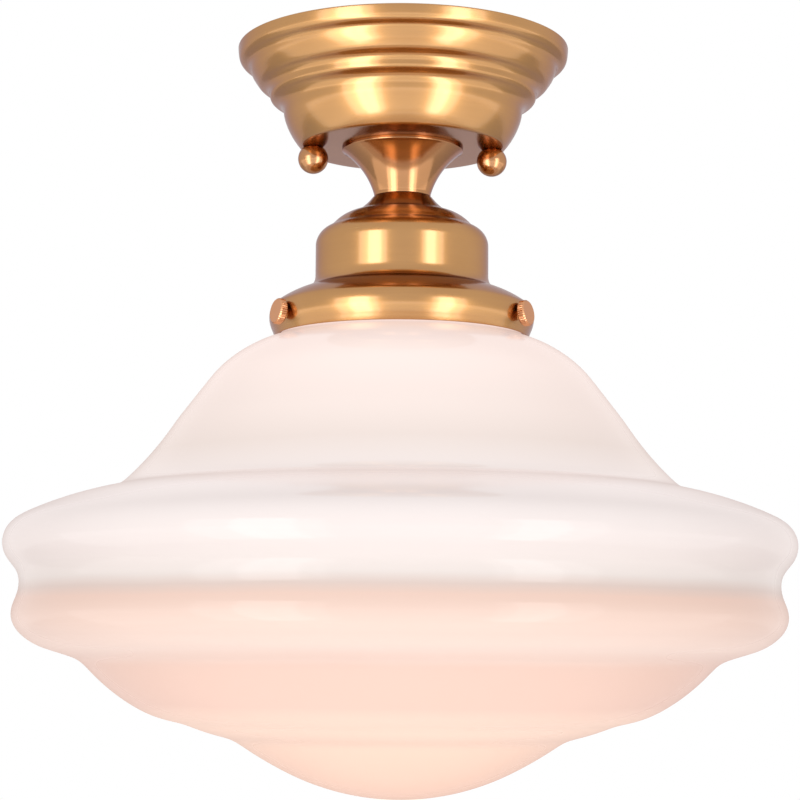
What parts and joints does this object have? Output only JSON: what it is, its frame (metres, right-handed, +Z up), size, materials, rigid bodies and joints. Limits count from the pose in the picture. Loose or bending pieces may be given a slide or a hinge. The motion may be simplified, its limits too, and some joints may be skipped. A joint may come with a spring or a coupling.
{
  "type": "semi flush ceiling light",
  "caption": "Semi flush ceiling light: stepped brass canopy, flared neck, shade holder with thumbscrews, and a hollow collared opal glass shade round a screw-in lamp.",
  "frame": {"origin": "centre of the ceiling plane, on the fixture's vertical axis, level with the mounting strap's top face and the canopy's rim", "axes": "+Z up into the ceiling, +X along the mounting strap from the left stud to the right stud"},
  "size_m": [0.3046, 0.3046, 0.2937],
  "materials": {
    "brass": "brushed satin brass",
    "brass_turned": "turned satin brass",
    "opal_glass": "glossy opal glass",
    "zinc_steel": "zinc plated",
    "green_steel": "green screw",
    "porcelain": "glazed porcelain",
    "contact_brass": "plain brass",
    "lamp_cap": "rolled aluminium",
    "black_glass": "black glass",
    "solder": "solder",
    "frosted_glass": "frosted glass",
    "clear_glass": "clear glass",
    "tungsten": "tungsten wire",
    "black_insulation": "wire insulation",
    "white_insulation": "wire insulation",
    "copper": "bare copper",
    "orange_plastic": "moulded cap"
  },
  "bodies": {
    "fixture": {"canopy": "brass", "mounting_strap": "zinc_steel", "ground_screw": "green_steel", "canopy_stud_left": "brass_turned", "canopy_stud_right": "brass_turned", "stud_nut_left": "zinc_steel", "stud_nut_right": "zinc_steel", "threaded_nipple": "zinc_steel", "ground_lug": "zinc_steel", "lock_washer": "zinc_steel", "canopy_nut": "zinc_steel", "holder_nut": "zinc_steel", "flared_neck": "brass_turned", "shade_holder": "brass", "glass_shade": "opal_glass", "socket_plate": "zinc_steel", "socket_screw_left": "zinc_steel", "socket_screw_right": "zinc_steel", "socket_body": "porcelain", "socket_screw_shell": "contact_brass", "centre_contact": "contact_brass", "centre_rivet": "contact_brass", "shell_rivet": "contact_brass", "lead_black": "black_insulation", "lead_white": "white_insulation", "wire_connector_black": "orange_plastic", "wire_connector_white": "orange_plastic", "ground_wire": "copper"},
    "knob_left_travel": {"knob_insert_left": "contact_brass"},
    "knob_left_turn": {"ball_knob_left": "brass_turned"},
    "knob_right_travel": {"knob_insert_right": "contact_brass"},
    "knob_right_turn": {"ball_knob_right": "brass_turned"},
    "thumbscrew_1_travel": {"thumbscrew_shank_1": "brass_turned"},
    "thumbscrew_1_turn": {"thumbscrew_head_1": "brass_turned"},
    "thumbscrew_2_travel": {"thumbscrew_shank_2": "brass_turned"},
    "thumbscrew_2_turn": {"thumbscrew_head_2": "brass_turned"},
    "thumbscrew_3_travel": {"thumbscrew_shank_3": "brass_turned"},
    "thumbscrew_3_turn": {"thumbscrew_head_3": "brass_turned"},
    "lamp_travel": {"lamp_tip": "solder", "lamp_insulator": "black_glass"},
    "lamp_turn": {"lamp_base": "lamp_cap", "lamp_envelope": "frosted_glass", "lamp_stem": "clear_glass", "lamp_filament": "tungsten", "lamp_supports": "tungsten"}
  },
  "joints": [
    {"name": "knob_left_travel", "type": "slide", "parent": "fixture", "child": "knob_left_travel", "axis": [0, 0, -1], "range_m": [0, 0.00556]},
    {"name": "knob_left_turn", "type": "hinge", "parent": "knob_left_travel", "child": "knob_left_turn", "pos_m": [-0.0354, 0, -0.0441], "axis": [0, 0, -1], "range_deg": [0, 2520]},
    {"name": "knob_right_travel", "type": "slide", "parent": "fixture", "child": "knob_right_travel", "axis": [0, 0, -1], "range_m": [0, 0.00556]},
    {"name": "knob_right_turn", "type": "hinge", "parent": "knob_right_travel", "child": "knob_right_turn", "pos_m": [0.0354, 0, -0.0441], "axis": [0, 0, -1], "range_deg": [0, 2520]},
    {"name": "thumbscrew_1_travel", "type": "slide", "parent": "fixture", "child": "thumbscrew_1_travel", "axis": [0.0346, 0.9919, 0.1219], "range_m": [0, 0.00397]},
    {"name": "thumbscrew_1_turn", "type": "hinge", "parent": "thumbscrew_1_travel", "child": "thumbscrew_1_turn", "pos_m": [0.00181, 0.05177, -0.1096], "axis": [0.0346, 0.9919, 0.1219], "range_deg": [0, 1800]},
    {"name": "thumbscrew_2_travel", "type": "slide", "parent": "fixture", "child": "thumbscrew_2_travel", "axis": [-0.8764, -0.466, 0.1219], "range_m": [0, 0.00397]},
    {"name": "thumbscrew_2_turn", "type": "hinge", "parent": "thumbscrew_2_travel", "child": "thumbscrew_2_turn", "pos_m": [-0.04574, -0.02432, -0.1096], "axis": [-0.8764, -0.466, 0.1219], "range_deg": [0, 1800]},
    {"name": "thumbscrew_3_travel", "type": "slide", "parent": "fixture", "child": "thumbscrew_3_travel", "axis": [0.8417, -0.526, 0.1219], "range_m": [0, 0.00397]},
    {"name": "thumbscrew_3_turn", "type": "hinge", "parent": "thumbscrew_3_travel", "child": "thumbscrew_3_turn", "pos_m": [0.04393, -0.02745, -0.1096], "axis": [0.8417, -0.526, 0.1219], "range_deg": [0, 1800]},
    {"name": "lamp_travel", "type": "slide", "parent": "fixture", "child": "lamp_travel", "axis": [0, 0, -1], "range_m": [0, 0.0127]},
    {"name": "lamp_turn", "type": "hinge", "parent": "lamp_travel", "child": "lamp_turn", "pos_m": [0, 0, -0.13], "axis": [0, 0, -1], "range_deg": [0, 1260]}
  ],
  "couplings": [
    {"joint": "knob_left_turn", "follows": "knob_left_travel", "rad_per_m": 7913.3},
    {"joint": "knob_right_turn", "follows": "knob_right_travel", "rad_per_m": 7913.3},
    {"joint": "thumbscrew_1_turn", "follows": "thumbscrew_1_travel", "rad_per_m": 7913.3},
    {"joint": "thumbscrew_2_turn", "follows": "thumbscrew_2_travel", "rad_per_m": 7913.3},
    {"joint": "thumbscrew_3_turn", "follows": "thumbscrew_3_travel", "rad_per_m": 7913.3},
    {"joint": "lamp_turn", "follows": "lamp_travel", "rad_per_m": 1731.6}
  ]
}
